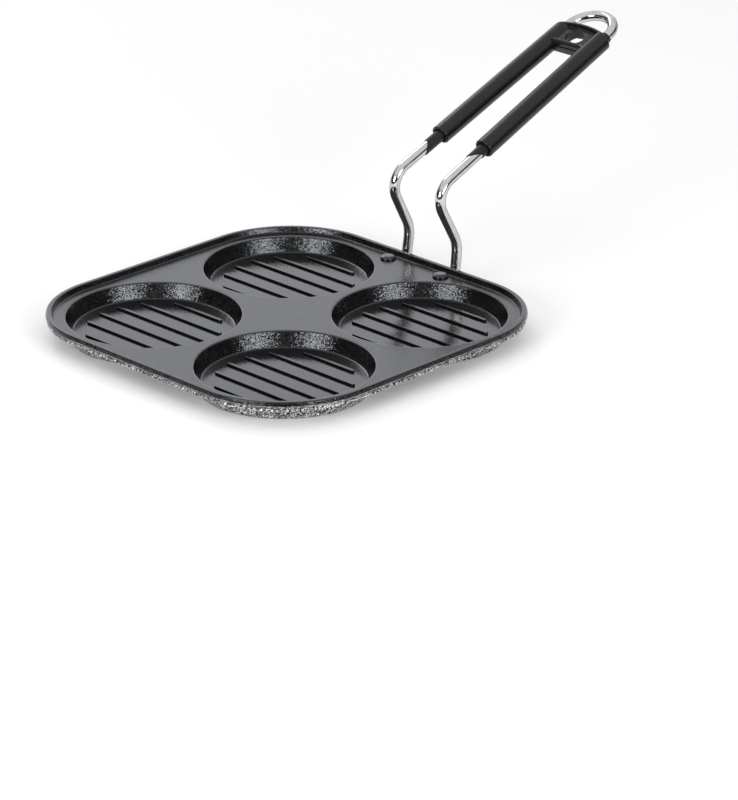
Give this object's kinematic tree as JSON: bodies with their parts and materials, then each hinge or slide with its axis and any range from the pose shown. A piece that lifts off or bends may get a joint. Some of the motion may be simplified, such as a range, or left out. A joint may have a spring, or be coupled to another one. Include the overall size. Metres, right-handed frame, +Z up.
{
  "type": "uttapam pan",
  "caption": "Rounded-square coated pan with round ribbed wells for small pancakes, and a raised bent-wire handle with a moulded grip.",
  "frame": {"origin": "under the middle of the whole object's box, on the surface it stands on", "axes": "+Z up, out of the wells; +Y from the pan towards the end of the handle; +X to the left of someone who holds the grip and faces the pan"},
  "size_m": [0.222, 0.3744, 0.1287],
  "materials": {
    "pan_coat": "dark non-stick coat inside, hammered silver-and-black enamel outside",
    "bright_wire": "bright plated steel wire",
    "grip_moulding": "black satin heat-proof moulding",
    "sleeve_tube": "black shrunk tube",
    "rivet_coat": "dark coat over the rivet head"
  },
  "bodies": {
    "root": {"pan_body": "pan_coat", "handle_wire": "bright_wire", "grip": "grip_moulding", "sleeve_left": "sleeve_tube", "sleeve_right": "sleeve_tube", "rivet_left": "rivet_coat", "rivet_right": "rivet_coat"}
  },
  "joints": []
}
